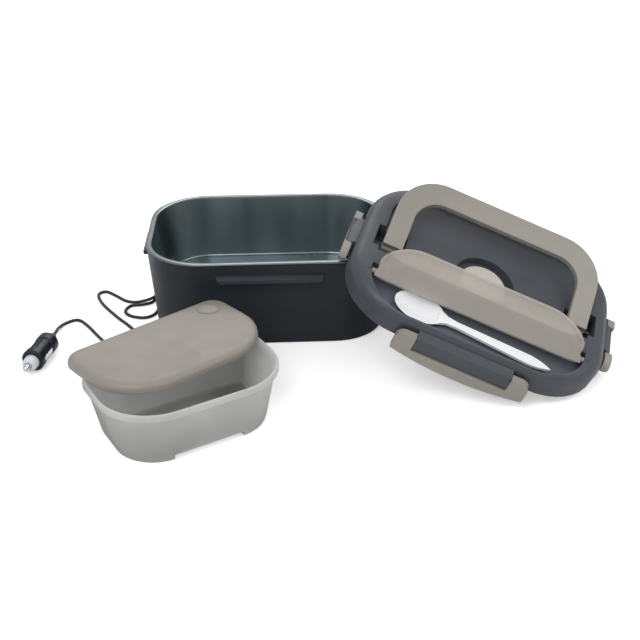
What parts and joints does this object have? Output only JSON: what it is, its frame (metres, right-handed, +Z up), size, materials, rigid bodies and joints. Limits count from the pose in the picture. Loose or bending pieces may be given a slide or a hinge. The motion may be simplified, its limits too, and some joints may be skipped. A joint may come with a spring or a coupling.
{
  "type": "electric lunch box",
  "caption": "Electric lunch box: heated base with lift-out steel tray, clip-on lid with handle and spoon compartment, snack container and car lead.",
  "frame": {"origin": "on the table under the middle of the heated base", "axes": "+X along the long side of the base, +Y towards its back, +Z up"},
  "size_m": [0.5424, 0.4531, 0.1465],
  "materials": {
    "charcoal_plastic": "fine satin moulded grain",
    "slate_plastic": "fine satin moulded grain",
    "liner_plastic": "satin",
    "warm_grey_plastic": "satin",
    "taupe_plastic": "soft satin",
    "tray_steel": "satin",
    "silicone": "matt",
    "black_rubber": "satin",
    "black_plastic": "satin gloss",
    "navy_plastic": "satin gloss",
    "bright_metal": "polished",
    "screw_steel": "plain",
    "aluminium": "satin",
    "ceramic": "matt ceramic",
    "felt": "needled felt",
    "phenolic": "matt",
    "wire_red": "satin",
    "spoon_plastic": "gloss",
    "snack_plastic": "frosted, slightly translucent",
    "collar_plastic": "satin"
  },
  "bodies": {
    "base": {"housing": "charcoal_plastic", "base_plate": "charcoal_plastic", "rubber_feet": "black_rubber", "base_screws": "screw_steel", "insulation_pad": "felt", "heater_carrier": "phenolic", "ptc_heaters": "ceramic", "heating_plate": "aluminium", "thermostat": "black_plastic", "thermal_fuse": "ceramic", "heater_leads": "wire_red", "power_inlet": "black_plastic", "lead_connector": "black_rubber", "connector_boot": "black_rubber", "lead_inner": "black_rubber", "lead_coil": "black_rubber", "lead_outer": "black_rubber", "plug_boot": "black_rubber", "plug_body": "navy_plastic", "plug_contacts": "bright_metal", "plug_collar": "collar_plastic"},
    "tray": {"steel_tray": "tray_steel"},
    "lid": {"lid_shell": "slate_plastic", "lid_liner": "liner_plastic", "lid_gasket": "silicone", "vent_plug": "taupe_plastic", "handle_pins": "screw_steel", "cover_pins": "screw_steel", "latch_pins": "screw_steel"},
    "carry_handle": {"handle": "warm_grey_plastic"},
    "cover": {"cutlery_cover": "warm_grey_plastic"},
    "front_latch": {"latch_front": "warm_grey_plastic"},
    "right_latch": {"latch_right": "warm_grey_plastic"},
    "back_latch": {"latch_back": "warm_grey_plastic"},
    "left_latch": {"latch_left": "warm_grey_plastic"},
    "spoon_piece": {"spoon": "spoon_plastic"},
    "snack_container": {"snack_box": "snack_plastic"},
    "snack_lid": {"snack_box_lid": "taupe_plastic", "snack_vent_plug": "warm_grey_plastic"},
    "tip_contact": {"plug_tip": "bright_metal"}
  },
  "joints": [
    {"name": "tray_lift", "type": "slide", "parent": "base", "child": "tray", "axis": [0, 0, 1], "range_m": [0, 0.11]},
    {"name": "lid_lift", "type": "slide", "parent": "tray", "child": "lid", "axis": [0, 0, 1], "range_m": [0, 0.12]},
    {"name": "handle_fold", "type": "hinge", "parent": "lid", "child": "carry_handle", "pos_m": [0.1884, -0.11661, 0.07204], "axis": [0.9084, -0.2181, -0.3567], "range_deg": [-18.5, 61.5]},
    {"name": "cover_flip", "type": "hinge", "parent": "lid", "child": "cover", "pos_m": [0.17681, -0.15843, 0.0681], "axis": [-0.9084, 0.2181, 0.3567], "range_deg": [-165, 0]},
    {"name": "spoon_slide", "type": "slide", "parent": "lid", "child": "spoon_piece", "axis": [0.9084, -0.2181, -0.3567], "range_m": [0, 0.01]},
    {"name": "front_latch_hinge", "type": "hinge", "parent": "lid", "child": "front_latch", "pos_m": [0.15905, -0.1939, 0.04455], "axis": [-0.9084, 0.2181, 0.3567], "range_deg": [0, 100]},
    {"name": "right_latch_hinge", "type": "hinge", "parent": "lid", "child": "right_latch", "pos_m": [0.30312, -0.13423, 0.0223], "axis": [-0.3143, -0.9188, -0.2386], "range_deg": [0, 100]},
    {"name": "back_latch_hinge", "type": "hinge", "parent": "lid", "child": "back_latch", "pos_m": [0.21864, -0.01969, 0.0898], "axis": [0.9084, -0.2181, -0.3567], "range_deg": [0, 100]},
    {"name": "left_latch_hinge", "type": "hinge", "parent": "lid", "child": "left_latch", "pos_m": [0.07457, -0.07936, 0.11206], "axis": [0.3143, 0.9188, 0.2386], "range_deg": [0, 100]},
    {"name": "snack_box_lift", "type": "slide", "parent": "base", "child": "snack_container", "axis": [0, 0, 1], "range_m": [0, 0.1]},
    {"name": "snack_lid_lift", "type": "slide", "parent": "snack_container", "child": "snack_lid", "axis": [0, 0, 1], "range_m": [0, 0.08]},
    {"name": "tip_press", "type": "slide", "parent": "base", "child": "tip_contact", "axis": [0.2164, 0.9763, 0], "range_m": [0, 0.003], "stiffness_N_per_m": 400, "springref_m": -0.002}
  ]
}
